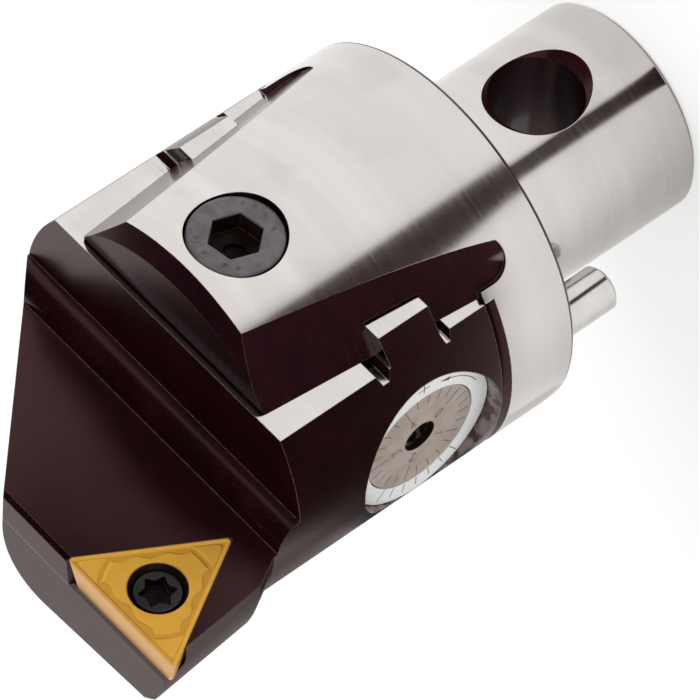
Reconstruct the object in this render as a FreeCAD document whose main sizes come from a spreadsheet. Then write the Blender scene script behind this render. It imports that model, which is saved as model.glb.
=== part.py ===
import FreeCAD, Part
import Sketcher
import math
import os
import re

# Boring bar head: a ground steel body with a plain coupling spigot carries a black slide.
# The slide runs across the tool axis on a tongue, moved by a fine screw with a graduated
# dial, and is held by one clamp screw. A triangular insert sits on the slide's nose.
# Origin: centre of the shoulder face. +Z runs to the cutting end, +X is the feed direction
# of the slide (towards the dial and the cutting corner), +Y is the side of the clamp screw.

# Driving sizes in millimetres and degrees
SIZES = {
    "head_radius": 21.0,
    "fit_gap": 0.02,
    "seat_gap": 0.1,
    # Body
    "spigot_radius": 12.0,
    "spigot_length": 25.0,
    "spigot_chamfer": 0.6,
    "shoulder_chamfer": 0.3,
    "cross_bore_radius": 5.0,
    "cross_bore_setback": 12.6,
    "cross_bore_sink": 1.1,
    "flange_length": 9.5,
    "flange_chamfer": 1.1,
    "bridge_setback": 0.7,
    "bridge_chamfer_length": 1.15,
    "bridge_chamfer_depth": 2.2,
    "edge_break": 0.4,
    "joint_height": 12.2,
    "flat_angle": 53.0,
    "flat_depth": 0.08,
    "flat_tilt": 4.17,
    "runout_radius": 2.5,
    "runout_side": 3.3,
    "runout_depth": 1.7,
    "runout_spread": 16.2,
    # Drive pin
    "pin_radius": 2.5,
    "pin_inset": 4.6,
    "pin_reach": 8.0,
    "pin_seat": 7.0,
    "pin_shank": 2.0,
    "pin_recess": 0.3,
    "pin_chamfer": 0.4,
    # Slide
    "slide_gap": 0.15,
    "front_wall": 8.4,
    "tongue_width": 6.4,
    "tongue_rise": 2.5,
    "groove_relief": 0.35,
    "relief_depth": 1.0,
    "rear_relief_width": 1.2,
    "front_relief_width": 1.7,
    "front_relief_land": 0.2,
    "wall_fillet": 2.8,
    "nose_length": 19.2,
    "left_edge": 1.2,
    "left_slope": 44.1,
    "under_edge": 11.65,
    "under_slope": 45.0,
    "under_turn": 5.2,
    "nose_blend": 9.0,
    "chin_chamfer": 0.9,
    "nose_reach": 2.9,
    "flare_setback": 3.3,
    "flare_rise": 3.1,
    "flare_step": 1.7,
    "front_chamfer": 0.5,
    "travel_out": 2.5,
    "travel_in": 0.5,
    "stop_gap": 0.3,
    # Insert and its screw
    "insert_inset": 7.21,
    "insert_circle": 9.525,
    "insert_nose": 0.4,
    "insert_thickness": 3.97,
    "insert_relief": 7.0,
    "insert_hole_radius": 2.2,
    "insert_sink_radius": 3.15,
    "insert_sink_depth": 1.6,
    "pocket_corner": 0.3,
    "wedge_setback": 2.5,
    "insert_screw_radius": 2.0,
    "insert_screw_head": 2.85,
    "insert_screw_drop": 0.3,
    "insert_screw_length": 9.0,
    "insert_key": 2.6,
    # Clamp screw, its washers and its cross nut
    "clamp_pitch": 8.95,
    "clamp_drop": 0.5,
    "clamp_head_radius": 5.0,
    "clamp_head_length": 4.0,
    "clamp_head_chamfer": 0.4,
    "clamp_head_gap": 0.2,
    "clamp_shank_radius": 3.0,
    "clamp_shank_length": 15.5,
    "clamp_shank_gap": 0.3,
    "clamp_key": 5.0,
    "clamp_key_depth": 2.4,
    "clamp_washer_thickness": 0.6,
    "clamp_spring_height": 0.6,
    "clamp_nut_height": 4.5,
    "clamp_nut_radius": 4.0,
    "clamp_nut_length": 10.0,
    "clamp_plug_drop": 1.0,
    "clamp_plug_length": 3.5,
    "clamp_plug_key": 4.0,
    # Feed nut and its pin
    "dial_wall": 0.15,
    "feed_nut_radius": 3.5,
    "feed_nut_drop": 1.7,
    "feed_nut_foot": 4.5,
    "nut_pin_radius": 0.75,
    "nut_pin_drop": 2.4,
    # Feed screw with its dial, ring, washers, spring and seal
    "feed_thread_radius": 2.5,
    "feed_thread_gap": 0.05,
    "feed_journal_radius": 3.2,
    "feed_journal_gap": 0.03,
    "collar_radius": 7.8,
    "collar_width": 1.7,
    "collar_gap": 0.2,
    "hub_radius": 4.5,
    "feed_key": 3.0,
    "feed_key_depth": 2.5,
    "dial_radius": 6.67,
    "dial_drop": 2.05,
    "dial_skin": 0.8,
    "dial_back_gap": 0.1,
    "dial_hole_radius": 2.25,
    "ring_radius": 8.75,
    "ring_bore_gap": 0.08,
    "ring_mouth_gap": 0.1,
    "ring_rise": 0.1,
    "ring_width": 2.45,
    "front_washer_thickness": 0.5,
    "rear_washer_thickness": 0.6,
    "dial_spring_height": 0.8,
    "seal_width": 0.9,
    # Drag plug on the feed screw and its grub screw
    "drag_setback": 2.8,
    "drag_radius": 1.5,
    "drag_plug_length": 2.4,
    "drag_screw_drop": 0.3,
    "drag_key": 1.5,
    "margin": 1.0,
}

# How near an edge lies to where it is looked for, and the least volume that a cut removes
EDGE_MATCH = 0.0001
LEAST_CUT = 0.000001

doc = FreeCAD.newDocument("BoringBarHead")
sheet = doc.addObject("Spreadsheet::Sheet", "sizes")
for row, (alias, number) in enumerate(SIZES.items(), start=1):
    sheet.set("B%d" % row, str(number))
    sheet.setAlias("B%d" % row, alias)
doc.recompute()

# Lengths that follow from the driving sizes, as formulas of the sheet
SLIDE_REAR = "(flange_length + slide_gap)"
RING_BORE = "(ring_radius + ring_mouth_gap)"
DIAL_STATION = "(%s + dial_wall + %s)" % (SLIDE_REAR, RING_BORE)
CLAMP_STATION = "(%s + clamp_pitch)" % DIAL_STATION
SLIDE_FRONT = "(%s + front_wall)" % CLAMP_STATION
BRIDGE_FRONT = "(%s - bridge_setback)" % SLIDE_FRONT
TIP_STATION = "(%s + nose_length)" % SLIDE_FRONT
TONGUE_REAR = "(%s - tongue_width / 2)" % DIAL_STATION
TONGUE_FRONT = "(%s + tongue_width / 2)" % DIAL_STATION
TONGUE_TOP = "(joint_height + tongue_rise)"
GROOVE_TOP = "(%s + groove_relief)" % TONGUE_TOP
RUNOUT_STATION = "(flange_length - runout_depth)"
PIN_OFFSET = "(head_radius - pin_inset)"
NOSE_RADIUS = "(head_radius + nose_reach)"
INSERT_OFFSET = "(%s - insert_inset)" % NOSE_RADIUS
INSERT_STATION = "(%s - insert_circle / 2)" % TIP_STATION
CLAMP_TOP = "(head_radius - clamp_drop)"
CLAMP_SEAT = "(%s - clamp_head_length)" % CLAMP_TOP
CLAMP_SPRING_TOP = "(%s - clamp_washer_thickness)" % CLAMP_SEAT
CLAMP_FLOOR = "(%s - clamp_spring_height)" % CLAMP_SPRING_TOP
CLAMP_END = "(%s - clamp_shank_length)" % CLAMP_SEAT
CLAMP_NUT_BORE = "(clamp_nut_radius + seat_gap)"
FEED_NUT_TOP = "(head_radius - feed_nut_drop)"
NUT_PIN_TOP = "(head_radius - nut_pin_drop)"
NUT_ROOM = "(feed_nut_radius + stop_gap)"
DIAL_FACE = "(head_radius - dial_drop)"
RING_FACE = "(%s + ring_rise)" % DIAL_FACE
RING_SEAT = "(%s - ring_width)" % RING_FACE
COLLAR_FRONT = "(%s - front_washer_thickness)" % RING_SEAT
COLLAR_REAR = "(%s - collar_width)" % COLLAR_FRONT
DIAL_SPRING_FRONT = "(%s - rear_washer_thickness)" % COLLAR_REAR
COLLAR_FLOOR = "(%s - dial_spring_height)" % DIAL_SPRING_FRONT
COLLAR_BORE = "(collar_radius + collar_gap)"
JOURNAL_END = "(travel_in + %s)" % NUT_ROOM
THREAD_END = "(-travel_out - feed_nut_radius / 2)"
HUB_FRONT = "(%s - dial_skin)" % DIAL_FACE
DRAG_OFFSET = "(%s - drag_setback)" % COLLAR_FLOOR
DRAG_TOP = "(%s - feed_journal_radius - fit_gap)" % DIAL_STATION
CLEAR = "(3 * head_radius)"
HEAD_AXIS = ("0", "0", "0")
DRIVE_PIN_AXIS = (PIN_OFFSET, "0", "0")
DIAL_AXIS = ("0", "0", DIAL_STATION)
CLAMP_AXIS = ("0", "0", CLAMP_STATION)
CLAMP_NUT_AXIS = ("0", "clamp_nut_height", CLAMP_STATION)
NUT_PIN_AXIS = ("feed_nut_radius", "0", DIAL_STATION)
INSERT_AXIS = (INSERT_OFFSET, "0", INSERT_STATION)
DRAG_AXIS = (DRAG_OFFSET, "0", "0")


def formula(text):
    """The text with every alias turned into a reference to its cell."""
    def cell(word):
        return "sizes." + word.group() if word.group() in SIZES else word.group()
    return re.sub(r"[a-z][a-z_]*", cell, text)


def value(text):
    """The number that a formula gives."""
    result = sheet.evalExpression(formula(text))
    return float(getattr(result, "Value", result))


def new_body(label):
    """A body whose label names its piece."""
    body = doc.addObject("PartDesign::Body", label)
    body.Label = label
    return body


def origin_plane(body, role):
    """One of the body's own origin planes."""
    return [feature for feature in body.Origin.OriginFeatures if feature.Role == role][0]


def new_sketch(body, name, plane, shift, turn):
    """A sketch on one of the body's own planes, shifted and turned within it."""
    sketch = body.newObject("Sketcher::SketchObject", name)
    sketch.AttachmentSupport = [(origin_plane(body, plane), "")]
    sketch.MapMode = "FlatFace"
    place = "create(<<placement>>; create(<<vector>>; %s; %s; %s); create(<<rotation>>; %s; %s; %s))"
    sketch.setExpression("AttachmentOffset", formula(place % (tuple(shift) + tuple(turn))))
    return sketch


def arc_between(start, end, radius, side):
    """The short arc from start to end; side is 1 for a left turn and -1 for a right turn."""
    chord = end - start
    rise = math.sqrt(max(radius ** 2 - chord.Length ** 2 / 4, 0))
    across = FreeCAD.Vector(-chord.y, chord.x, 0).normalize()
    centre = (start + end) / 2 + across * rise * side
    first, last = (start, end) if side > 0 else (end, start)
    first_angle = math.atan2(first.y - centre.y, first.x - centre.x)
    last_angle = math.atan2(last.y - centre.y, last.x - centre.x)
    if last_angle < first_angle:
        last_angle += 2 * math.pi
    circle = Part.Circle(centre, FreeCAD.Vector(0, 0, 1), radius)
    return Part.ArcOfCircle(circle, first_angle, last_angle)


def bind(sketch, kind, arguments, text):
    """One size of a sketch, bound to its formula."""
    number = sketch.addConstraint(Sketcher.Constraint(kind, *arguments, value(text)))
    sketch.setExpression("Constraints[%d]" % number, formula(text))


def outline(body, name, plane, corners, shift=("0", "0", "0"), turn=("0", "0", "0")):
    """A closed outline. A corner is a pair of formulas; with a radius and a side after them
    the stretch to the next corner is an arc."""
    sketch = new_sketch(body, name, plane, shift, turn)
    points = [FreeCAD.Vector(value(corner[0]), value(corner[1]), 0) for corner in corners]
    ends = []
    for number, corner in enumerate(corners):
        start = points[number]
        end = points[(number + 1) % len(points)]
        if len(corner) == 4:
            sketch.addGeometry(arc_between(start, end, value(corner[2]), corner[3]), False)
            ends.append((1, 2) if corner[3] > 0 else (2, 1))
        else:
            sketch.addGeometry(Part.LineSegment(start, end), False)
            ends.append((1, 2))
    for number, corner in enumerate(corners):
        following = (number + 1) % len(corners)
        sketch.addConstraint(Sketcher.Constraint(
            "Coincident", number, ends[number][1], following, ends[following][0]))
        bind(sketch, "DistanceX", (-1, 1, number, ends[number][0]), corner[0])
        bind(sketch, "DistanceY", (-1, 1, number, ends[number][0]), corner[1])
        if len(corner) == 4:
            bind(sketch, "Radius", (number,), corner[2])
    return sketch


def oblong(body, name, plane, low, high, along, radius, shift=("0", "0", "0")):
    """A slot outline between two end centres, along the sketch's first axis."""
    corners = [
        (low, "%s - %s" % (along, radius)),
        (high, "%s - %s" % (along, radius), radius, 1),
        ("%s + %s" % (high, radius), along, radius, 1),
        (high, "%s + %s" % (along, radius)),
        (low, "%s + %s" % (along, radius), radius, 1),
        ("%s - %s" % (low, radius), along, radius, 1),
    ]
    return outline(body, name, plane, corners, shift)


def hexagon(body, name, plane, across, along, width, shift=("0", "0", "0")):
    """A hexagon outline, sized across its flats."""
    corners = []
    for step in range(6):
        reach = "%s / sqrt(3)" % width
        corners.append(("%s + %s * cos(%d)" % (across, reach, 60 * step),
                        "%s + %s * sin(%d)" % (along, reach, 60 * step)))
    return outline(body, name, plane, corners, shift)


def extrude(body, name, sketch, length, towards, taper=None, both=False, cut=False):
    """A pad or a pocket of a sketch in the given direction."""
    before = body.Shape.Volume if cut else 0
    kind = "PartDesign::Pocket" if cut else "PartDesign::Pad"
    feature = body.newObject(kind, name)
    feature.Profile = sketch
    feature.setExpression("Length", formula(length))
    if both:
        feature.SideType = "Symmetric"
    doc.recompute()
    normal = sketch.getGlobalPlacement().Rotation.multVec(FreeCAD.Vector(0, 0, 1))
    forward = normal.dot(FreeCAD.Vector(*towards)) > 0
    feature.Reversed = forward if cut else not forward
    if taper:
        feature.setExpression("TaperAngle", formula(taper))
    doc.recompute()
    if cut and feature.Shape.Volume > before - LEAST_CUT:
        raise RuntimeError(body.Label + ": " + name + " removes nothing")
    return feature


def spin(body, name, axis, centre, profile, cut=False):
    """A turned solid, or a turned cut, about an axis along X, Y or Z through the centre. The
    profile is a closed list of pairs: the station along the axis and the radius there."""
    before = body.Shape.Volume if cut else 0
    centre_x, centre_y, centre_z = centre
    if axis == "X":
        sketch = outline(body, name + "_profile", "XY_Plane", profile, ("0", centre_y, centre_z))
    elif axis == "Y":
        sketch = outline(body, name + "_profile", "YZ_Plane", profile, ("0", centre_z, centre_x))
    else:
        swapped = [(radius, station) for station, radius in profile]
        sketch = outline(body, name + "_profile", "XZ_Plane", swapped,
                         (centre_x, "0", "-(%s)" % centre_y))
    feature = body.newObject("PartDesign::Groove" if cut else "PartDesign::Revolution", name)
    feature.Profile = sketch
    feature.ReferenceAxis = (sketch, ["V_Axis" if axis == "Z" else "H_Axis"])
    doc.recompute()
    if cut and feature.Shape.Volume > before - LEAST_CUT:
        raise RuntimeError(body.Label + ": " + name + " removes nothing")
    return feature


def bar(body, name, axis, centre, low, high, radius):
    """A plain round bar between two stations of an axis."""
    return spin(body, name, axis, centre, [(low, "0"), (low, radius), (high, radius), (high, "0")])


def bore(body, name, axis, centre, low, high, radius):
    """A plain round hole between two stations of an axis."""
    return spin(body, name, axis, centre, [(low, "0"), (low, radius), (high, radius), (high, "0")], cut=True)


def tube(body, axis, centre, low, high, inner, outer):
    """A flat ring between two stations of an axis."""
    return spin(body, "ring", axis, centre, [(low, inner), (low, outer), (high, outer), (high, inner)])


def edge_names(shape, wanted):
    """Names of the shape's edges that pass a test."""
    return ["Edge%d" % number for number, edge in enumerate(shape.Edges, start=1) if wanted(edge)]


def dress(body, kind, name, size, wanted):
    """A chamfer or a fillet on the edges that pass a test."""
    base = body.Tip
    names = edge_names(base.Shape, wanted)
    if not names:
        raise RuntimeError(body.Label + ": " + name + " finds no edge")
    feature = body.newObject("PartDesign::" + kind, name)
    feature.Base = (base, names)
    feature.setExpression("Radius" if kind == "Fillet" else "Size", formula(size))
    doc.recompute()
    return feature


def at_height(edge, station):
    """True where the whole edge lies at one height."""
    box = edge.BoundBox
    return abs(box.ZMin - station) < EDGE_MATCH and abs(box.ZMax - station) < EDGE_MATCH


def make_head_body():
    """Ground steel body: spigot, shoulder flange and the bridge over the slide."""
    body = new_body("head_body")
    spin(body, "turned_blank", "Z", HEAD_AXIS, [
        ("-spigot_length", "0"),
        ("-spigot_length", "spigot_radius - spigot_chamfer"),
        ("-spigot_length + spigot_chamfer", "spigot_radius"),
        ("0", "spigot_radius"),
        ("0", "head_radius - shoulder_chamfer"),
        ("shoulder_chamfer", "head_radius"),
        (BRIDGE_FRONT + " - bridge_chamfer_length", "head_radius"),
        (BRIDGE_FRONT, "head_radius - bridge_chamfer_depth"),
        (BRIDGE_FRONT, "0"),
    ])
    groove_rear = TONGUE_REAR + " - fit_gap"
    groove_front = TONGUE_FRONT + " + fit_gap"
    joint = "joint_height + fit_gap"
    seat = outline(body, "slide_seat_profile", "YZ_Plane", [
        ("-" + CLEAR, "flange_length"),
        (joint, "flange_length"),
        (joint, groove_rear),
        (GROOVE_TOP, groove_rear),
        (GROOVE_TOP, groove_front),
        (joint, groove_front),
        (joint, BRIDGE_FRONT + " - edge_break"),
        (joint + " + edge_break", BRIDGE_FRONT),
        (joint + " + edge_break", BRIDGE_FRONT + " + margin"),
        ("-" + CLEAR, BRIDGE_FRONT + " + margin"),
    ])
    extrude(body, "slide_seat", seat, "4 * head_radius", (1, 0, 0), both=True, cut=True)
    flange_front = value("flange_length")
    dress(body, "Chamfer", "flange_front_chamfer", "flange_chamfer",
          lambda edge: at_height(edge, flange_front) and isinstance(edge.Curve, Part.Circle))
    cut_side_flats(body)
    spin(body, "clamp_hole", "Y", CLAMP_AXIS, [
        ("joint_height - margin", "0"),
        ("joint_height - margin", "clamp_shank_radius + clamp_shank_gap"),
        (CLAMP_FLOOR, "clamp_shank_radius + clamp_shank_gap"),
        (CLAMP_FLOOR, "clamp_head_radius + clamp_head_gap"),
        ("head_radius + margin", "clamp_head_radius + clamp_head_gap"),
        ("head_radius + margin", "0"),
    ], cut=True)
    bore(body, "feed_nut_bore", "Y", DIAL_AXIS, "joint_height - margin", FEED_NUT_TOP, "feed_nut_radius")
    bore(body, "nut_pin_hole", "Y", NUT_PIN_AXIS, "joint_height - margin", NUT_PIN_TOP, "nut_pin_radius")
    crest = "spigot_radius - cross_bore_sink"
    mouth = "cross_bore_radius + cross_bore_sink + margin"
    spin(body, "cross_bore", "Y", ("0", "0", "-cross_bore_setback"), [
        ("-spigot_radius - margin", "0"),
        ("-spigot_radius - margin", mouth),
        ("-(%s)" % crest, "cross_bore_radius"),
        (crest, "cross_bore_radius"),
        ("spigot_radius + margin", mouth),
        ("spigot_radius + margin", "0"),
    ], cut=True)
    spin(body, "drive_pin_hole", "Z", DRIVE_PIN_AXIS, [
        ("-margin", "0"),
        ("-margin", "pin_radius + seat_gap"),
        ("pin_recess", "pin_radius + seat_gap"),
        ("pin_recess", "pin_shank"),
        ("pin_seat", "pin_shank"),
        ("pin_seat", "0"),
    ], cut=True)
    return body


def cut_side_flats(body):
    """The two slanted flats beside the clamp screw, each with a rounded run-out."""
    flat_distance = "(head_radius - flat_depth)"
    shift = (flat_distance + " * sin(flat_angle)", flat_distance + " * cos(flat_angle)", "0")
    turn = ("180 - flat_angle", "0", "90 - flat_tilt")
    flat = outline(body, "side_flat_outline", "XY_Plane", [
        ("runout_side + runout_radius", RUNOUT_STATION, "runout_radius", -1),
        ("runout_side", RUNOUT_STATION + " - runout_radius", "runout_radius", -1),
        ("runout_side - runout_radius", RUNOUT_STATION),
        ("runout_side - runout_radius", "flange_length"),
        ("-head_radius", "flange_length"),
        ("-head_radius", BRIDGE_FRONT + " + 2 * margin"),
        ("runout_spread", BRIDGE_FRONT + " + 2 * margin"),
    ], shift, turn)
    side = math.radians(value("flat_angle"))
    side_flat = extrude(body, "side_flat", flat, "head_radius", (math.sin(side), math.cos(side), 0), cut=True)
    mirrored = body.newObject("PartDesign::Mirrored", "side_flat_pair")
    mirrored.Originals = [side_flat]
    mirrored.MirrorPlane = (origin_plane(body, "YZ_Plane"), [""])
    body.Tip = mirrored
    doc.recompute()


def make_drive_pin():
    """Pin that takes the cutting torque, with a thinner shank pressed into the shoulder."""
    body = new_body("drive_pin")
    spin(body, "pin_blank", "Z", DRIVE_PIN_AXIS, [
        ("-pin_reach", "0"),
        ("-pin_reach", "pin_radius - pin_chamfer"),
        ("-pin_reach + pin_chamfer", "pin_radius"),
        ("0", "pin_radius"),
        ("0", "pin_shank"),
        ("pin_seat", "pin_shank"),
        ("pin_seat", "0"),
    ])
    return body


def make_slide_holder():
    """Black slide: round body with the tongue, the rake step, the nose and the insert pocket."""
    body = new_body("slide_holder")
    flare_start = "(%s + flare_setback)" % SLIDE_FRONT
    spin(body, "turned_blank", "Z", HEAD_AXIS, [
        (SLIDE_REAR, "0"),
        (SLIDE_REAR, "head_radius"),
        (flare_start, "head_radius"),
        (flare_start + " + flare_rise", "head_radius + flare_step"),
        (TIP_STATION, NOSE_RADIUS),
        (TIP_STATION, "0"),
    ])
    shape_nose(body)
    shape_top(body)
    cut_feed_bores(body)
    cut_clamp_bores(body)
    cut_insert_pocket(body)
    return body


def shape_nose(body):
    """The slanted left side and underside of the nose, and the rake step on top."""
    reach = "2 * head_radius"
    past_tip = TIP_STATION + " + margin"
    left = outline(body, "left_side_outline", "XZ_Plane", [
        ("-left_edge", TIP_STATION),
        ("-left_edge - %s" % reach, "%s - %s * tan(left_slope)" % (TIP_STATION, reach)),
        ("-left_edge - %s" % reach, past_tip),
        ("-left_edge", past_tip),
    ])
    extrude(body, "left_side", left, "4 * head_radius", (0, 1, 0), both=True, cut=True)
    under = outline(body, "underside_outline", "YZ_Plane", [
        ("-under_edge", TIP_STATION),
        ("-under_edge - %s" % reach, "%s - %s * tan(under_slope)" % (TIP_STATION, reach)),
        ("-under_edge - %s" % reach, past_tip),
        ("-under_edge", past_tip),
    ], turn=("0", "under_turn", "0"))
    extrude(body, "underside", under, "4 * head_radius", (1, 0, 0), both=True, cut=True)
    dress(body, "Fillet", "nose_corner", "nose_blend", is_nose_corner)
    step = outline(body, "rake_step_profile", "YZ_Plane", [
        (CLEAR, SLIDE_FRONT),
        ("wall_fillet", SLIDE_FRONT, "wall_fillet", 1),
        ("0", SLIDE_FRONT + " + wall_fillet"),
        ("0", past_tip),
        (CLEAR, past_tip),
    ])
    extrude(body, "rake_step", step, "4 * head_radius", (1, 0, 0), both=True, cut=True)
    tip = value(TIP_STATION)
    dress(body, "Chamfer", "rake_front_chamfer", "front_chamfer",
          lambda edge: at_height(edge, tip) and abs(edge.BoundBox.YMin) < EDGE_MATCH)
    dress(body, "Chamfer", "chin", "chin_chamfer", is_chin)


def is_nose_corner(edge):
    """True for the straight edge between the slanted left side and the slanted underside."""
    if not isinstance(edge.Curve, Part.Line):
        return False
    direction = edge.Curve.Direction
    return min(abs(direction.x), abs(direction.y), abs(direction.z)) > math.sin(math.radians(20))


def is_chin(edge):
    """True for the curved edge between the slanted underside and the nose's turned side."""
    box = edge.BoundBox
    return (not isinstance(edge.Curve, Part.Line) and box.ZLength > value("under_edge") / 2
            and box.XMax > value("nose_reach") and box.YMin < value("-under_edge"))


def shape_top(body):
    """The joint plane with the tongue and its two relief grooves."""
    rear_relief = TONGUE_REAR + " - rear_relief_width"
    front_relief = TONGUE_FRONT + " + front_relief_land"
    relief_floor = "joint_height - relief_depth"
    top = outline(body, "joint_profile", "YZ_Plane", [
        (CLEAR, "flange_length - margin"),
        ("joint_height", "flange_length - margin"),
        ("joint_height", rear_relief),
        (relief_floor, rear_relief + " + rear_relief_width / 4"),
        (relief_floor, TONGUE_REAR + " - rear_relief_width / 4"),
        ("joint_height", TONGUE_REAR),
        (TONGUE_TOP, TONGUE_REAR),
        (TONGUE_TOP, TONGUE_FRONT),
        ("joint_height", TONGUE_FRONT),
        ("joint_height", front_relief),
        (relief_floor, front_relief + " + front_relief_width / 4"),
        (relief_floor, front_relief + " + front_relief_width * 3 / 4"),
        ("joint_height", front_relief + " + front_relief_width"),
        ("joint_height", SLIDE_FRONT + " + margin"),
        (CLEAR, SLIDE_FRONT + " + margin"),
    ])
    extrude(body, "joint_plane", top, "4 * head_radius", (1, 0, 0), both=True, cut=True)


def cut_feed_bores(body):
    """Slot for the feed nut, stepped bore for the dial and the feed screw, and the drag bore."""
    slot = oblong(body, "feed_nut_slot_outline", "XZ_Plane", "-travel_out", "travel_in",
                  DIAL_STATION, NUT_ROOM, shift=("0", "0", "feed_nut_foot + stop_gap"))
    extrude(body, "feed_nut_slot", slot, CLEAR, (0, 1, 0), cut=True)
    journal_bore = "feed_journal_radius + feed_journal_gap"
    spin(body, "dial_bore", "X", DIAL_AXIS, [
        ("0", "0"),
        ("0", journal_bore),
        (COLLAR_FLOOR, journal_bore),
        (COLLAR_FLOOR, COLLAR_BORE),
        (RING_SEAT, COLLAR_BORE),
        (RING_SEAT, RING_BORE),
        (CLEAR, RING_BORE),
        (CLEAR, "0"),
    ], cut=True)
    bore(body, "drag_bore", "Z", DRAG_AXIS, "flange_length - margin", DIAL_STATION,
         "drag_radius + fit_gap")


def cut_clamp_bores(body):
    """Cross bore for the clamp nut and the slot for the clamp screw."""
    blind_end = "clamp_nut_length / 2 + travel_in + stop_gap"
    bore(body, "clamp_nut_bore", "X", CLAMP_NUT_AXIS, "-" + CLEAR, blind_end, CLAMP_NUT_BORE)
    slot = oblong(body, "clamp_slot_outline", "XZ_Plane", "-travel_out", "travel_in", CLAMP_STATION,
                  "(clamp_shank_radius + clamp_shank_gap)", shift=("0", "0", "-(%s - stop_gap)" % CLAMP_END))
    extrude(body, "clamp_slot", slot, CLEAR, (0, 1, 0), cut=True)


def cut_insert_pocket(body):
    """Pocket that seats the insert, with the short wedge beside it and the screw hole."""
    apex = "(%s - insert_circle - 2 * fit_gap)" % INSERT_STATION
    past_tip = "(%s + margin)" % TIP_STATION
    wedge_end = "(%s - wedge_setback)" % TIP_STATION
    corner = "%s + pocket_corner" % apex
    pocket = outline(body, "insert_pocket_outline", "XZ_Plane", [
        ("%s - (%s - %s) * tan(30)" % (INSERT_OFFSET, past_tip, apex), past_tip),
        (INSERT_OFFSET + " - pocket_corner * tan(30)", corner),
        (INSERT_OFFSET + " + pocket_corner * tan(30)", corner),
        ("%s + (%s - %s) * tan(30)" % (INSERT_OFFSET, wedge_end, apex), wedge_end),
        (NOSE_RADIUS + " + 2 * margin", wedge_end),
        (NOSE_RADIUS + " + 2 * margin", past_tip),
    ])
    extrude(body, "insert_pocket", pocket, "insert_thickness", (0, -1, 0), taper="-insert_relief", cut=True)
    bore(body, "insert_screw_hole", "Y", INSERT_AXIS, "-insert_screw_length - stop_gap", "0",
         "insert_screw_radius + fit_gap")


def make_cutting_insert():
    """Triangular indexable insert with relieved sides and a countersunk hole."""
    body = new_body("cutting_insert")
    corners = []
    for angle in (-90, 30, 150):
        reach = "(insert_circle - 2 * insert_nose)"
        centre_x = "%s + %s * cos(%d)" % (INSERT_OFFSET, reach, angle)
        centre_z = "%s + %s * sin(%d)" % (INSERT_STATION, reach, angle)
        corners.append(("%s + insert_nose * cos(%d)" % (centre_x, angle - 60),
                        "%s + insert_nose * sin(%d)" % (centre_z, angle - 60), "insert_nose", 1))
        corners.append(("%s + insert_nose * cos(%d)" % (centre_x, angle + 60),
                        "%s + insert_nose * sin(%d)" % (centre_z, angle + 60)))
    top = outline(body, "top_outline", "XZ_Plane", corners)
    extrude(body, "insert_blank", top, "insert_thickness", (0, -1, 0), taper="-insert_relief")
    spin(body, "screw_hole", "Y", INSERT_AXIS, [
        ("margin", "0"),
        ("margin", "insert_sink_radius"),
        ("0", "insert_sink_radius"),
        ("-insert_sink_depth", "insert_hole_radius"),
        ("-insert_thickness - margin", "insert_hole_radius"),
        ("-insert_thickness - margin", "0"),
    ], cut=True)
    return body


def make_insert_screw():
    """Taper-headed screw that pulls the insert into its pocket."""
    body = new_body("insert_screw")
    spin(body, "screw_blank", "Y", INSERT_AXIS, [
        ("-insert_screw_drop", "0"),
        ("-insert_screw_drop", "insert_screw_head"),
        ("-insert_sink_depth", "insert_screw_radius"),
        ("-insert_screw_length", "insert_screw_radius"),
        ("-insert_screw_length", "0"),
    ])
    socket = hexagon(body, "socket_outline", "XZ_Plane", INSERT_OFFSET, INSERT_STATION, "insert_key",
                     shift=("0", "0", "insert_screw_drop"))
    extrude(body, "socket", socket, "insert_key / 2", (0, -1, 0), cut=True)
    return body


def make_clamp_screw():
    """Low-headed cap screw that clamps the slide against the bridge."""
    body = new_body("clamp_screw")
    spin(body, "screw_blank", "Y", CLAMP_AXIS, [
        (CLAMP_TOP, "0"),
        (CLAMP_TOP, "clamp_head_radius - clamp_head_chamfer"),
        (CLAMP_TOP + " - clamp_head_chamfer", "clamp_head_radius"),
        (CLAMP_SEAT, "clamp_head_radius"),
        (CLAMP_SEAT, "clamp_shank_radius"),
        (CLAMP_END, "clamp_shank_radius"),
        (CLAMP_END, "0"),
    ])
    socket = hexagon(body, "socket_outline", "XZ_Plane", "0", CLAMP_STATION, "clamp_key",
                     shift=("0", "0", "-" + CLAMP_TOP))
    extrude(body, "socket", socket, "clamp_key_depth", (0, -1, 0), cut=True)
    return body


def make_clamp_washer():
    """Hard flat washer under the clamp screw's head."""
    body = new_body("clamp_washer")
    tube(body, "Y", CLAMP_AXIS, CLAMP_SPRING_TOP, CLAMP_SEAT, "clamp_shank_radius + seat_gap",
         "clamp_head_radius")
    return body


def make_clamp_spring():
    """Spring washer, pressed flat, that keeps a light drag on the slide while the screw is eased."""
    body = new_body("clamp_spring_washer")
    tube(body, "Y", CLAMP_AXIS, CLAMP_FLOOR, CLAMP_SPRING_TOP, "clamp_shank_radius + seat_gap",
         "clamp_head_radius")
    return body


def make_clamp_nut():
    """Round cross nut of the clamp screw."""
    body = new_body("clamp_nut")
    bar(body, "nut_blank", "X", CLAMP_NUT_AXIS, "-clamp_nut_length / 2", "clamp_nut_length / 2",
        "clamp_nut_radius")
    bore(body, "thread_hole", "Y", CLAMP_AXIS, "clamp_nut_height - clamp_nut_radius - margin",
         "clamp_nut_height + clamp_nut_radius + margin", "clamp_shank_radius + feed_thread_gap")
    return body


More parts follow.
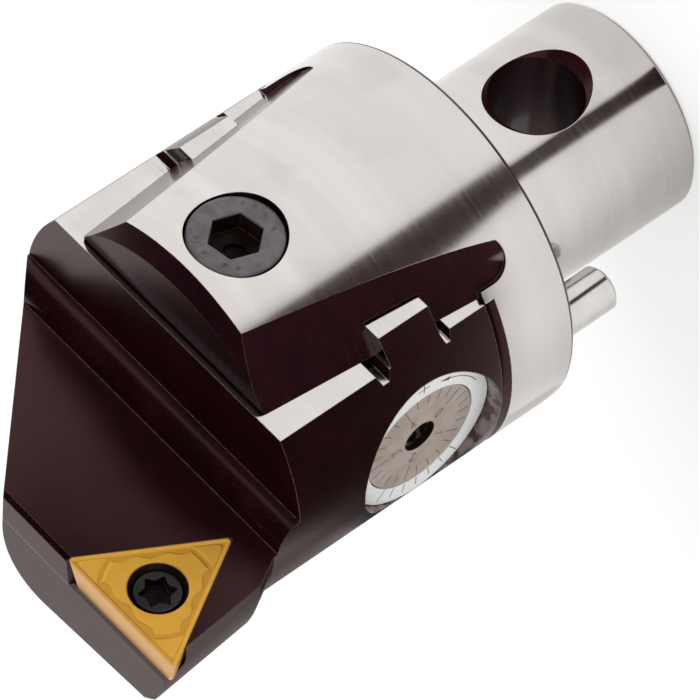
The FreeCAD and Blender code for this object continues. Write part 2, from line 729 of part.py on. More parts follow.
def make_clamp_plug():
    """Threaded plug that closes the clamp nut's bore."""
    body = new_body("clamp_bore_plug")
    face = "(clamp_plug_drop - sqrt(head_radius ^ 2 - (clamp_nut_height + clamp_nut_radius) ^ 2))"
    bar(body, "plug_blank", "X", CLAMP_NUT_AXIS, face, face + " + clamp_plug_length",
        CLAMP_NUT_BORE + " - fit_gap")
    socket = hexagon(body, "socket_outline", "YZ_Plane", "clamp_nut_height", CLAMP_STATION,
                     "clamp_plug_key", shift=("0", "0", face))
    extrude(body, "socket", socket, "clamp_plug_length / 2", (1, 0, 0), cut=True)
    return body


def make_feed_nut():
    """Post under the bridge whose cross thread the feed screw runs in."""
    body = new_body("feed_nut")
    bar(body, "post", "Y", DIAL_AXIS, "-feed_nut_foot", FEED_NUT_TOP, "feed_nut_radius")
    bore(body, "thread_hole", "X", DIAL_AXIS, "-feed_nut_radius - margin", "feed_nut_radius + margin",
         "feed_thread_radius + feed_thread_gap")
    bore(body, "pin_notch", "Y", NUT_PIN_AXIS, GROOVE_TOP, FEED_NUT_TOP + " + margin", "nut_pin_radius")
    return body


def make_nut_pin():
    """Small pin that keeps the feed nut from turning in the bridge."""
    body = new_body("feed_nut_pin")
    bar(body, "pin", "Y", NUT_PIN_AXIS, GROOVE_TOP, NUT_PIN_TOP, "nut_pin_radius")
    return body


def make_feed_screw():
    """Fine-pitch feed screw with its journal, collar and hub."""
    body = new_body("feed_screw")
    spin(body, "screw_blank", "X", DIAL_AXIS, [
        (THREAD_END, "0"),
        (THREAD_END, "feed_thread_radius"),
        (JOURNAL_END, "feed_thread_radius"),
        (JOURNAL_END, "feed_journal_radius"),
        (COLLAR_REAR, "feed_journal_radius"),
        (COLLAR_REAR, "collar_radius"),
        (COLLAR_FRONT, "collar_radius"),
        (COLLAR_FRONT, "hub_radius"),
        (HUB_FRONT, "hub_radius"),
        (HUB_FRONT, "0"),
    ])
    socket = hexagon(body, "socket_outline", "YZ_Plane", "0", DIAL_STATION, "feed_key",
                     shift=("0", "0", HUB_FRONT))
    extrude(body, "socket", socket, "feed_key_depth", (-1, 0, 0), cut=True)
    return body


def make_dial_disc():
    """Graduated disc pressed on the feed screw's hub."""
    body = new_body("dial_disc")
    back = RING_SEAT + " + dial_back_gap"
    spin(body, "disc", "X", DIAL_AXIS, [
        (back, "hub_radius"),
        (back, "dial_radius"),
        (DIAL_FACE, "dial_radius"),
        (DIAL_FACE, "dial_hole_radius"),
        (HUB_FRONT, "dial_hole_radius"),
        (HUB_FRONT, "hub_radius"),
    ])
    return body


def make_vernier_ring():
    """Bright ring with the vernier lines, which also holds the feed screw's collar in."""
    body = new_body("vernier_ring")
    tube(body, "X", DIAL_AXIS, RING_SEAT, RING_FACE, "dial_radius + ring_bore_gap", "ring_radius")
    return body


def make_thrust_washer(label, front, rear, inner, outer):
    """Flat bronze washer beside the feed screw's collar."""
    body = new_body(label)
    tube(body, "X", DIAL_AXIS, rear, front, inner + " + seat_gap", outer)
    return body


def make_dial_spring():
    """Spring washer, pressed flat, that takes the play out of the feed screw's collar."""
    body = new_body("dial_spring_washer")
    tube(body, "X", DIAL_AXIS, COLLAR_FLOOR, DIAL_SPRING_FRONT, "feed_journal_radius + seat_gap",
         "collar_radius")
    return body


def make_dial_seal():
    """Flat seal ring round the front thrust washer."""
    body = new_body("dial_seal")
    tube(body, "X", DIAL_AXIS, COLLAR_FRONT + " + fit_gap", RING_SEAT + " - fit_gap",
         "collar_radius - seal_width + fit_gap", COLLAR_BORE + " - fit_gap")
    return body


def make_drag_plug():
    """Plastic plug that gives the feed screw a steady drag."""
    body = new_body("drag_plug")
    bar(body, "plug", "Z", DRAG_AXIS, DRAG_TOP + " - drag_plug_length", DRAG_TOP, "drag_radius")
    return body


def make_drag_screw():
    """Grub screw behind the drag plug."""
    body = new_body("drag_grub_screw")
    foot = SLIDE_REAR + " + drag_screw_drop"
    bar(body, "screw", "Z", DRAG_AXIS, foot, DRAG_TOP + " - drag_plug_length", "drag_radius")
    socket = hexagon(body, "socket_outline", "XY_Plane", DRAG_OFFSET, "0", "drag_key",
                     shift=("0", "0", foot))
    extrude(body, "socket", socket, "drag_radius", (0, 0, 1), cut=True)
    return body


def check(bodies):
    """Stops if any object failed or any piece is not one sound solid."""
    for thing in doc.Objects:
        if "Invalid" in thing.State or "Error" in thing.State:
            raise RuntimeError(thing.Label + " failed")
    for body in bodies:
        if body.Shape.isNull() or not body.Shape.isValid() or len(body.Shape.Solids) != 1:
            raise RuntimeError(body.Label + " is not one sound solid")


pieces = [
    make_head_body(),
    make_drive_pin(),
    make_feed_nut(),
    make_nut_pin(),
    make_clamp_nut(),
    make_clamp_washer(),
    make_clamp_spring(),
    make_slide_holder(),
    make_cutting_insert(),
    make_insert_screw(),
    make_vernier_ring(),
    make_clamp_plug(),
    make_thrust_washer("front_thrust_washer", RING_SEAT, COLLAR_FRONT, "hub_radius",
                       "collar_radius - seal_width"),
    make_thrust_washer("rear_thrust_washer", COLLAR_REAR, DIAL_SPRING_FRONT, "feed_journal_radius",
                       "collar_radius"),
    make_dial_spring(),
    make_dial_seal(),
    make_drag_plug(),
    make_drag_screw(),
    make_feed_screw(),
    make_dial_disc(),
    make_clamp_screw(),
]
doc.recompute()
check(pieces)
os.makedirs("parts", exist_ok=True)
for piece in pieces:
    piece.Shape.exportStep(os.path.join("parts", piece.Label + ".step"))
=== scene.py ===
import bpy
import bmesh
import math
from mathutils import Matrix, Vector


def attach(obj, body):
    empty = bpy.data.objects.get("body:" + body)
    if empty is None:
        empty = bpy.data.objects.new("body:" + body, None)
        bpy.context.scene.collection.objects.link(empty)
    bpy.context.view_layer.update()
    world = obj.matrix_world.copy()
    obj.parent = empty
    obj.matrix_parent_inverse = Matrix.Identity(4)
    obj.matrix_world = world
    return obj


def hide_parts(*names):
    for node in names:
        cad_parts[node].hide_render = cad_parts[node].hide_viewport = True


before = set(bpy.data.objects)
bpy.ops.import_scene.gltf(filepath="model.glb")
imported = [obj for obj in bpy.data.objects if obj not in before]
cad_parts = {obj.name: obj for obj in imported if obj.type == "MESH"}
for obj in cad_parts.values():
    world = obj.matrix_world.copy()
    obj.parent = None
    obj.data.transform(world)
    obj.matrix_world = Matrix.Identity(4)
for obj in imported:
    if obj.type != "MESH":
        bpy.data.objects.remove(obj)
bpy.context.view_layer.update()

MM = 0.001

# Camera, as fitted to the photograph: place in metres and lens in millimetres
CAMERA_PLACE = (0.291617, 0.548172, 0.304957)
CAMERA_RIGHT = (0.653002, 0.057048, -0.755204)
CAMERA_UP = (-0.631488, 0.591501, -0.501347)
CAMERA_BACK = (0.418103, 0.804283, 0.422277)
CAMERA_LENS = 352.3
CAMERA_SENSOR = 36

# Stations and sizes of the solids that the pieces and materials below go by, in millimetres
DIAL_STATION = 18.65
DIAL_FACE = 18.95
DIAL_RADIUS = 6.67
RING_FACE = 19.05
CLAMP_STATION = 27.6
CLAMP_TOP = 20.5
CLAMP_SEAT = 16.5
CLAMP_END = 1.0
CLAMP_HEAD = 5.0
CLAMP_SHANK = 3.0
CLAMP_KEY = 5.0
JOINT_HEIGHT = 12.2
TONGUE_TOP = 14.7
TONGUE_FRONT = 21.85
RELIEF_FLOOR = 11.2
RECESS_RADIUS = 8.85
RECESS_FLOOR = 16.6
HUB_FACE = 18.15
HUB_RADIUS = 4.5
INSERT_CENTRE = (16.69, 50.4375)
INSERT_INNER = 4.7625
INSERT_NOSE = 0.4
INSERT_THICKNESS = 3.97
INSERT_TAPER = math.tan(math.radians(7))
HEAD_RADIUS = 21.0
SPIGOT_RADIUS = 12.0
FLOOR = -25.0


# Meshes

def make_object(name, vertices, faces, sharp=30):
    """An object from points in millimetres, smooth but for edges over the sharp angle."""
    mesh = bpy.data.meshes.new(name)
    mesh.from_pydata([tuple(value * MM for value in point) for point in vertices], [], faces)
    work = bmesh.new()
    work.from_mesh(mesh)
    bmesh.ops.remove_doubles(work, verts=work.verts, dist=1e-7)
    bmesh.ops.recalc_face_normals(work, faces=work.faces)
    work.to_mesh(mesh)
    work.free()
    for polygon in mesh.polygons:
        polygon.use_smooth = True
    mesh.set_sharp_from_angle(angle=math.radians(sharp))
    thing = bpy.data.objects.new(name, mesh)
    bpy.context.scene.collection.objects.link(thing)
    return thing


def loft(name, axis, centre, rings, steps, closed=False, sharp=30):
    """A lathed or lofted piece along X or Y. A ring is a height along the axis and a radius.
    Either may be a function: the radius of the angle, the height of the angle and the radius."""
    vertices = []
    for height, radius in rings:
        for step in range(steps):
            angle = 2 * math.pi * step / steps
            reach = radius(angle) if callable(radius) else radius
            rise = height(angle, reach) if callable(height) else height
            across = reach * math.cos(angle)
            along = reach * math.sin(angle)
            if axis == "X":
                point = (rise, centre[0] + across, centre[1] + along)
            else:
                point = (centre[0] + across, rise, centre[1] + along)
            vertices.append(point)
    faces = []
    count = len(rings)
    for ring in range(count if closed else count - 1):
        following = (ring + 1) % count
        for step in range(steps):
            after = (step + 1) % steps
            faces.append((ring * steps + step, ring * steps + after,
                          following * steps + after, following * steps + step))
    return make_object(name, vertices, faces, sharp)


def rounded_corner(high, wide, size):
    """Points of a quarter round from a side into a top face, as heights and radii."""
    cuts = 4
    points = []
    for cut in range(cuts, -1, -1):
        turn = math.pi / 2 * cut / cuts
        points.append((high - size + size * math.cos(turn), wide - size + size * math.sin(turn)))
    return points


def polygon_radius(inner, sides, turn):
    """The radius of a regular polygon as a function of the angle."""
    half = math.pi / sides

    def radius(angle):
        away = (angle - turn) % (2 * half) - half
        return inner / math.cos(away)
    return radius


def star_radius(low, depth, points):
    """The radius of a star-shaped recess as a function of the angle."""
    def radius(angle):
        return low + depth * (1 - abs(math.sin(points / 2 * angle)))
    return radius


def triangle_radius(inner, nose):
    """The radius of the insert's outline, with its rounded corners, as a function of the angle."""
    reach = 2 * (inner - nose)

    def radius(angle):
        away = (angle - math.radians(90)) % math.radians(120)
        away = min(away, math.radians(120) - away)
        if inner * math.tan(min(away, 1.5)) <= (inner - nose) * math.sqrt(3):
            return inner / math.cos(away)
        off = math.radians(60) - away
        return reach * math.cos(off) + math.sqrt(nose ** 2 - (reach * math.sin(off)) ** 2)
    return radius


def smooth_step(low, high, number):
    """A soft ramp from 0 at low to 1 at high."""
    share = min(max((number - low) / (high - low), 0.0), 1.0)
    return share * share * (3 - 2 * share)


# Chip former on the insert's top, in millimetres
GROOVE_DEPTH = 0.11
BORDER_REACH = 1.02
BORDER_WAVE = 0.2
BORDER_PITCH = 3.1
CORNER_START = 4.0


def chip_former(angle, reach):
    """Height of the insert's top: a land at the edge, a groove, a wavy island in the middle and
    a lower one in each corner."""
    across = reach * math.cos(angle)
    along = reach * math.sin(angle)
    nearest = INSERT_INNER
    place = 0.0
    for edge in (90, 210, 330):
        turn = math.radians(edge)
        gap = INSERT_INNER - across * math.cos(turn) - along * math.sin(turn)
        if gap < nearest:
            nearest = gap
            place = across * math.sin(turn) - along * math.cos(turn)
    from_tip = 2 * INSERT_INNER - reach if abs(place) > CORNER_START else 2 * INSERT_INNER
    groove = smooth_step(0.1, 0.6, nearest)
    border = BORDER_REACH + BORDER_WAVE * math.cos(2 * math.pi * place / BORDER_PITCH)
    island = smooth_step(border - 0.14, border + 0.1, nearest) * smooth_step(4.05, 4.25, from_tip)
    small = smooth_step(0.42, 0.62, nearest) * smooth_step(1.3, 1.7, from_tip)
    small *= 1 - smooth_step(3.5, 3.75, from_tip)
    return -GROOVE_DEPTH * groove * (1 - max(island, 0.85 * small))


def make_insert():
    """Cutting insert with its relief, its chip former and its countersunk hole."""
    hole = 2.2
    sink = 3.05
    sink_depth = 1.6
    sink_round = 0.1
    sink_drop = 0.06
    edge_drop = 0.04
    edge_inset = 0.005
    edge_width = 0.03
    bottom = INSERT_INNER - INSERT_THICKNESS * INSERT_TAPER
    outer = triangle_radius(INSERT_INNER, INSERT_NOSE)
    rings = [(-INSERT_THICKNESS, hole), (-INSERT_THICKNESS, triangle_radius(bottom, INSERT_NOSE))]
    rings.append((-edge_drop, triangle_radius(INSERT_INNER - edge_inset, INSERT_NOSE)))
    cuts = 56
    crowding = 1.15
    for cut in range(cuts + 1):
        share = (cut / cuts) ** crowding

        def between(angle, share=share):
            edge = outer(angle) - edge_width
            return edge + (sink + sink_round - edge) * share
        rings.append((chip_former, between))
    rings += [(-sink_drop, sink), (-sink_depth, hole)]
    return loft("insert", "Y", INSERT_CENTRE, rings, steps=720, closed=True, sharp=24)


def make_insert_screw():
    """Six-lobe screw in the insert."""
    head = 2.5
    shank = 2.0
    end = -9.0
    top = -0.62
    socket = top - 1.25
    lobes = star_radius(1.36, 0.6, 6)
    rings = [(end, 0.0), (end, shank - 0.2), (end + 0.2, shank), (-1.75, shank), (top - 0.25, head)]
    rings += rounded_corner(top, head, 0.2)
    rings += [(top, lambda angle: lobes(angle) + 0.06), (top - 0.05, lobes)]
    rings += [(socket, lobes), (socket, 1.0), (socket - 0.3, 0.0)]
    return loft("insert_screw_head", "Y", INSERT_CENTRE, rings, steps=240, sharp=28)


# Dents in the clamp screw's top, as radii in millimetres and angles in degrees, and their size
DENTS = [(3.95, -130), (4.1, -112), (3.95, -91), (3.8, -63), (3.95, 124), (3.85, 94), (3.9, 57), (4.1, 37)]
DENT_DEPTH = 0.1
DENT_RADIUS = 0.36
BURR_HEIGHT = 0.03
BURR_RADIUS = 0.44
BURR_WIDTH = 0.12


def make_clamp_screw():
    """Clamp screw with its hexagon socket and a few dents in the top."""
    hexagon = polygon_radius(CLAMP_KEY / 2, 6, math.radians(-10))
    face = CLAMP_TOP - 0.03
    bevel = 0.1
    socket = CLAMP_TOP - 2.4

    def top(angle, reach):
        low = 0.0
        for radius, turn in DENTS:
            away_x = reach * math.cos(angle) - radius * math.cos(math.radians(turn))
            away_z = reach * math.sin(angle) - radius * math.sin(math.radians(turn))
            gap = math.hypot(away_x, away_z)
            dent = 1 - smooth_step(0.08, DENT_RADIUS, gap)
            burr = math.exp(-((gap - BURR_RADIUS) / BURR_WIDTH) ** 2)
            low += DENT_DEPTH * dent - BURR_HEIGHT * burr
        return face - low

    rounding = 0.32
    rim = CLAMP_HEAD - rounding
    rings = [(CLAMP_END, 0.0), (CLAMP_END, CLAMP_SHANK - 0.4), (CLAMP_END + 0.4, CLAMP_SHANK)]
    rings += [(CLAMP_SEAT, CLAMP_SHANK), (CLAMP_SEAT, CLAMP_HEAD)]
    rings += rounded_corner(face, CLAMP_HEAD, rounding)[:-1]
    cuts = 24
    for cut in range(cuts + 1):
        share = cut / cuts
        rings.append((top, lambda angle, share=share: rim + (hexagon(angle) + bevel - rim) * share))
    rings += [(face - bevel, hexagon), (socket, hexagon), (socket, 2.35),
              (socket - 0.5, 1.3), (socket - 1.2, 1.25), (socket - 1.5, 0.0)]
    return loft("clamp_screw_head", "Y", (0, CLAMP_STATION), rings, steps=360, sharp=28)


def make_dial_face():
    """Dial disc with its softened rim and its bore over the screw's hexagon socket."""
    hole = 1.9
    bevel = 0.07
    gap = 0.02
    back = HUB_FACE - 1.5
    rings = [(back, HUB_RADIUS), (back, DIAL_RADIUS - gap)]
    rings += rounded_corner(DIAL_FACE, DIAL_RADIUS - gap, 0.1)
    rings += [(DIAL_FACE, hole + bevel), (DIAL_FACE - bevel, hole)]
    rings += [(HUB_FACE + gap, hole), (HUB_FACE + gap, HUB_RADIUS)]
    return loft("dial_face", "X", (0, DIAL_STATION), rings, steps=240, closed=True)


def plate(corners, low, high):
    """A thin plate on a face across X: its points and its faces."""
    count = len(corners)
    vertices = [(low, y, z) for y, z in corners] + [(high, y, z) for y, z in corners]
    faces = [tuple(range(count)), tuple(range(2 * count - 1, count - 1, -1))]
    for number in range(count):
        after = (number + 1) % count
        faces.append((number, after, count + after, count + number))
    return vertices, faces


def stroke(start, end, width):
    """The corners of a line of some width between two points of the dial's plane."""
    run = (end[0] - start[0], end[1] - start[1])
    length = math.hypot(*run)
    side = (-run[1] / length * width / 2, run[0] / length * width / 2)
    overrun = 0.3
    over = (run[0] / length * width * overrun, run[1] / length * width * overrun)
    return [(start[0] - over[0] + side[0], start[1] - over[1] + side[1]),
            (start[0] - over[0] - side[0], start[1] - over[1] - side[1]),
            (end[0] + over[0] - side[0], end[1] + over[1] - side[1]),
            (end[0] + over[0] + side[0], end[1] + over[1] + side[1])]


def polar(radius, degrees):
    """A point of the dial's plane, as y and z, at an angle from +Y towards +Z."""
    turn = math.radians(degrees)
    return radius * math.cos(turn), DIAL_STATION + radius * math.sin(turn)


def make_marks(name, outlines, face):
    """One piece of thin marks let into a face across X."""
    depth = 0.06
    rise = 0.012
    vertices = []
    faces = []
    for corners in outlines:
        points, sides = plate(corners, face - depth, face + rise)
        faces += [tuple(number + len(vertices) for number in side) for side in sides]
        vertices += points
    return make_object(name, vertices, faces)


# Plain figures as one run of strokes each, in a cell one unit high with its centre at the middle
FIGURES = {
    0: [(0.25 * math.sin(math.radians(turn)), 0.5 * math.cos(math.radians(turn)))
        for turn in range(0, 361, 30)],
    1: [(-0.18, 0.28), (0.05, 0.5), (0.05, -0.5)],
    2: [(-0.25, 0.28), (-0.15, 0.45), (0.05, 0.5), (0.22, 0.38), (0.22, 0.18), (-0.25, -0.5), (0.27, -0.5)],
    3: [(-0.24, 0.5), (0.24, 0.5), (0.0, 0.1), (0.2, 0.0), (0.25, -0.22), (0.12, -0.45), (-0.1, -0.5),
        (-0.25, -0.36)],
    4: [(0.12, -0.5), (0.12, 0.5), (-0.28, -0.2), (0.28, -0.2)],
}
ZERO_TURN = -50.0
DIVISIONS = 25
LONG_EVERY = 5
FIGURE_RADIUS = 3.05
FIGURE_HEIGHT = 1.15
LINE_WIDTH = 0.1

# The ring's vernier lines, its plus sign and its arrow, as radii and as angles in degrees
VERNIER_STEP = 12.9
PLUS_RADIUS = 8.15
PLUS_TURN = 1.5
ARROW_RADIUS = 7.85
ARROW_START = -62
ARROW_HEAD = -24
ARROW_TIP = -13.5
ARROW_STEP = 3


def make_dial_marks():
    """The dial's division lines and its plain figures."""
    outlines = []
    for number in range(DIVISIONS):
        turn = ZERO_TURN - 360 / DIVISIONS * number
        inner = 4.2 if number % LONG_EVERY == 0 else 5.1
        outlines.append(stroke(polar(inner, turn), polar(6.35, turn), LINE_WIDTH))
    for figure, line in FIGURES.items():
        turn = ZERO_TURN - 360 / DIVISIONS * LONG_EVERY * figure
        outward = (math.cos(math.radians(turn)), math.sin(math.radians(turn)))
        sideways = (outward[1], -outward[0])
        centre = polar(FIGURE_RADIUS, turn)
        points = [(centre[0] + (across * sideways[0] + up * outward[0]) * FIGURE_HEIGHT,
                   centre[1] + (across * sideways[1] + up * outward[1]) * FIGURE_HEIGHT)
                  for across, up in line]
        for start, end in zip(points, points[1:]):
            outlines.append(stroke(start, end, LINE_WIDTH))
    return make_marks("dial_marks", outlines, DIAL_FACE)


def make_ring_marks():
    """The ring's vernier lines, its plus sign and its arrow."""
    outlines = []
    for number in range(-3, 4):
        turn = 180 + VERNIER_STEP * number
        outer = 8.4 if abs(number) == 3 else 8.0
        outlines.append(stroke(polar(6.85, turn), polar(outer, turn), 0.09))
    outlines.append(stroke(polar(PLUS_RADIUS - 0.55, PLUS_TURN), polar(PLUS_RADIUS + 0.55, PLUS_TURN), 0.11))
    outlines.append(stroke(polar(PLUS_RADIUS, PLUS_TURN - 5), polar(PLUS_RADIUS, PLUS_TURN + 5), 0.11))
    for turn in range(ARROW_START, ARROW_HEAD + 1, ARROW_STEP):
        outlines.append(stroke(polar(ARROW_RADIUS, turn), polar(ARROW_RADIUS, turn + ARROW_STEP), LINE_WIDTH))
    outlines.append([polar(ARROW_RADIUS - 0.25, ARROW_HEAD), polar(ARROW_RADIUS + 0.3, ARROW_HEAD),
                     polar(ARROW_RADIUS + 0.05, ARROW_TIP)])
    return make_marks("ring_marks", outlines, RING_FACE)


# Materials

class Nodes:
    """Short ways to add nodes to a material."""

    def __init__(self, name):
        self.material = bpy.data.materials.new(name)
        self.material.use_nodes = True
        self.tree = self.material.node_tree
        self.shader = self.tree.nodes["Principled BSDF"]

    def feed(self, socket, value):
        """Links a socket or sets a plain value."""
        if isinstance(value, bpy.types.NodeSocket):
            self.tree.links.new(value, socket)
        elif isinstance(value, tuple) and len(value) == 3 and socket.type == "RGBA":
            socket.default_value = (*value, 1)
        else:
            socket.default_value = value

    def math(self, kind, first, second=0.0):
        """One sum on numbers or sockets."""
        node = self.tree.nodes.new("ShaderNodeMath")
        node.operation = kind
        self.feed(node.inputs[0], first)
        self.feed(node.inputs[1], second)
        return node.outputs[0]

    def ramp(self, value, low, high, low_out=0.0, high_out=1.0):
        """A soft ramp between two levels."""
        node = self.tree.nodes.new("ShaderNodeMapRange")
        node.interpolation_type = "SMOOTHSTEP"
        self.feed(node.inputs["Value"], value)
        self.feed(node.inputs["From Min"], low)
        self.feed(node.inputs["From Max"], high)
        self.feed(node.inputs["To Min"], low_out)
        self.feed(node.inputs["To Max"], high_out)
        return node.outputs["Result"]

    def place(self):
        """The object's own coordinates in millimetres."""
        texture = self.tree.nodes.new("ShaderNodeTexCoord")
        scale = self.tree.nodes.new("ShaderNodeVectorMath")
        scale.operation = "SCALE"
        self.tree.links.new(texture.outputs["Object"], scale.inputs[0])
        scale.inputs["Scale"].default_value = 1 / MM
        return scale.outputs[0]

    def stretch(self, vector, factors):
        """A vector with each of its numbers scaled."""
        node = self.tree.nodes.new("ShaderNodeVectorMath")
        node.operation = "MULTIPLY"
        self.tree.links.new(vector, node.inputs[0])
        node.inputs[1].default_value = factors
        return node.outputs[0]

    def split(self, vector):
        """The three numbers of a vector."""
        node = self.tree.nodes.new("ShaderNodeSeparateXYZ")
        self.tree.links.new(vector, node.inputs[0])
        return node.outputs

    def noise(self, vector, scale, detail=3.0):
        """Soft noise, mostly between 0.3 and 0.7."""
        node = self.tree.nodes.new("ShaderNodeTexNoise")
        self.tree.links.new(vector, node.inputs["Vector"])
        node.inputs["Scale"].default_value = scale
        node.inputs["Detail"].default_value = detail
        return node.outputs["Fac"]

    def facing(self):
        """The direction of the surface in the object's own axes."""
        texture = self.tree.nodes.new("ShaderNodeTexCoord")
        return self.split(texture.outputs["Normal"])

    def mix(self, share, first, second):
        """A number between two numbers."""
        node = self.tree.nodes.new("ShaderNodeMix")
        self.feed(node.inputs["Factor"], share)
        self.feed(node.inputs[2], first)
        self.feed(node.inputs[3], second)
        return node.outputs[0]

    def blend(self, share, first, second):
        """A colour between two colours."""
        node = self.tree.nodes.new("ShaderNodeMix")
        node.data_type = "RGBA"
        self.feed(node.inputs["Factor"], share)
        self.feed(node.inputs[6], first)
        self.feed(node.inputs[7], second)
        return node.outputs[2]

    def bump(self, height, distance, strength, normal):
        """The shading normal of a fine relief on top of another one. The distance is its height
        in millimetres."""
        node = self.tree.nodes.new("ShaderNodeBump")
        node.inputs["Strength"].default_value = strength
        node.inputs["Distance"].default_value = distance * MM
        self.tree.links.new(height, node.inputs["Height"])
        self.tree.links.new(normal, node.inputs["Normal"])
        return node.outputs[0]

    def rounded(self, radius):
        """The shading normal of slightly rounded edges, and a mask of those edges."""
        soft = self.tree.nodes.new("ShaderNodeBevel")
        soft.samples = 6
        soft.inputs["Radius"].default_value = radius * MM
        geometry = self.tree.nodes.new("ShaderNodeNewGeometry")
        dot = self.tree.nodes.new("ShaderNodeVectorMath")
        dot.operation = "DOT_PRODUCT"
        self.tree.links.new(soft.outputs[0], dot.inputs[0])
        self.tree.links.new(geometry.outputs["Normal"], dot.inputs[1])
        return soft.outputs[0], self.ramp(dot.outputs["Value"], 0.985, 0.9)

    def surface(self, colour, metallic, roughness, normal=None, **more):
        """The finished material, with further inputs of its shader by name."""
        self.feed(self.shader.inputs["Base Color"], colour)
        self.feed(self.shader.inputs["Metallic"], metallic)
        self.feed(self.shader.inputs["Roughness"], roughness)
        if normal is not None:
            self.tree.links.new(normal, self.shader.inputs["Normal"])
        for name, value in more.items():
            self.feed(self.shader.inputs[name.replace("_", " ")], value)
        return self.material


def radial_gap(nodes, first, second):
    """The distance from an axis, from two coordinates measured from it."""
    return nodes.math("SQRT", nodes.math("ADD", both(nodes, first, first), both(nodes, second, second)))


def both(nodes, first, second):
    """The product of two numbers, such as the share that two masks have in common."""
    return nodes.math("MULTIPLY", first, second)


def either(nodes, *masks):
    """The greatest of some masks."""
    whole = masks[0]
    for mask in masks[1:]:
        whole = nodes.math("MAXIMUM", whole, mask)
    return whole


def near(nodes, value, level, reach=0.03):
    """1 where a coordinate is close to a level."""
    away = nodes.math("ABSOLUTE", nodes.math("SUBTRACT", value, level))
    return nodes.ramp(away, reach, reach * 0.8)


def steel_look(nodes, place):
    """Colour, roughness and relief of ground steel with fine rings round the tool axis."""
    rings = nodes.noise(nodes.stretch(place, (0.05, 0.05, 9.0)), 1.0, 4.0)
    bands = nodes.noise(nodes.stretch(place, (0.02, 0.02, 0.22)), 1.0, 2.0)
    cloud = nodes.noise(place, 0.14, 3.0)
    colour = nodes.blend(nodes.ramp(rings, 0.3, 0.7), (0.575, 0.55, 0.535), (0.615, 0.592, 0.575))
    colour = nodes.blend(nodes.ramp(bands, 0.4, 0.65, 0.0, 0.5), colour, (0.69, 0.672, 0.655))
    colour = nodes.blend(nodes.ramp(cloud, 0.5, 0.75, 0.0, 0.4), colour, (0.5, 0.472, 0.455))
    return colour, nodes.ramp(rings, 0.25, 0.75, 0.125, 0.165), rings


def oxide_look(nodes, place, colour, roughness, edge):
    """Colour, roughness and relief of black oxide with a few specks, and edges lightened partly by wear and
    partly as a painted highlight.
    """
    grain = nodes.noise(place, 14.0, 3.0)
    cloud = nodes.noise(place, 0.25, 3.0)
    speck = nodes.ramp(nodes.noise(place, 6.0, 2.0), 0.67, 0.72, 0.0, 0.6)
    base = nodes.blend(nodes.ramp(cloud, 0.35, 0.7), colour, tuple(1.7 * value for value in colour))
    base = nodes.blend(speck, base, (0.05, 0.034, 0.034))
    # Lighter edges: partly wear, partly a painted highlight of the rounded edges.
    worn_and_lit_edge = both(nodes, edge, nodes.ramp(nodes.noise(place, 4.0, 3.0), 0.35, 0.6, 0.1, 0.7))
    base = nodes.blend(worn_and_lit_edge, base, (0.16, 0.125, 0.125))
    return base, nodes.ramp(grain, 0.3, 0.7, roughness - 0.03, roughness + 0.05), grain


def two_looks(nodes, share, steel, oxide, soft, index, **more):
    """A finished material of black oxide with steel where the share is 1. Each of the two looks
    is a colour, a roughness and a relief."""
    colour = nodes.blend(share, oxide[0], steel[0])
    rough = nodes.mix(share, oxide[1], steel[1])
    normal = nodes.bump(oxide[2], 0.003, 0.12, soft)
    normal = nodes.bump(steel[2], 0.002, 0.2, normal)
    tangent = nodes.tree.nodes.new("ShaderNodeTangent")
    tangent.direction_type = "RADIAL"
    tangent.axis = "Z"
    tint = nodes.blend(share, (1.0, 0.5, 0.53), (1.0, 1.0, 1.0))
    return nodes.surface(colour, share, rough, normal, IOR=index, Specular_Tint=tint,
                         Tangent=tangent.outputs[0], Anisotropic=both(nodes, share, 0.55), **more)


def make_head_skin():
    """Ground steel round the outside and on the spigot; black oxide in the recesses and, smoother,
    on the flats."""
    nodes = Nodes("ground_steel")
    place = nodes.place()
    x, y, z = nodes.split(place)
    face = nodes.facing()
    radius = radial_gap(nodes, x, y)
    along = nodes.math("ADD", both(nodes, x, face[0]), both(nodes, y, face[1]))
    turned = nodes.ramp(nodes.math("DIVIDE", along, radius), 0.985, 0.992)
    outside = both(nodes, turned, nodes.ramp(radius, HEAD_RADIUS - 0.4, HEAD_RADIUS - 0.3))
    spigot = both(nodes, turned, near(nodes, radius, SPIGOT_RADIUS, 0.15))
    shoulder = both(nodes, nodes.ramp(face[2], -0.98, -0.995),
                    nodes.ramp(radius, HEAD_RADIUS - 0.28, HEAD_RADIUS - 0.3))
    shoulder = both(nodes, shoulder, nodes.ramp(z, 0.1, 0.05))
    outside = both(nodes, outside, nodes.ramp(z, 0.4, 0.46))
    end = nodes.ramp(z, FLOOR + 0.7, FLOOR + 0.65)
    steel = either(nodes, outside, spigot, shoulder, end)
    soft, edge = nodes.rounded(0.12)
    base, rough, grain = oxide_look(nodes, place, (0.0095, 0.0011, 0.0028), 0.27, edge)
    brushed = nodes.noise(nodes.stretch(place, (0.35, 0.35, 7.0)), 1.0, 4.0)
    base = nodes.blend(nodes.ramp(brushed, 0.5, 0.72, 0.0, 0.5), base, (0.034, 0.007, 0.011))
    # Painted shade: faces that look along +Z get a darker oxide.
    base = nodes.blend(nodes.ramp(face[2], 0.8, 0.95), base, (0.005, 0.001, 0.0015))
    flats = nodes.ramp(nodes.math("ABSOLUTE", face[0]), 0.7, 0.78)
    flats = both(nodes, flats, nodes.math("SUBTRACT", 0.6, both(nodes, steel, 0.6)))
    return two_looks(nodes, steel, steel_look(nodes, place), (base, rough, grain), soft, index=1.45,
                     Coat_Weight=flats, Coat_Roughness=0.12)


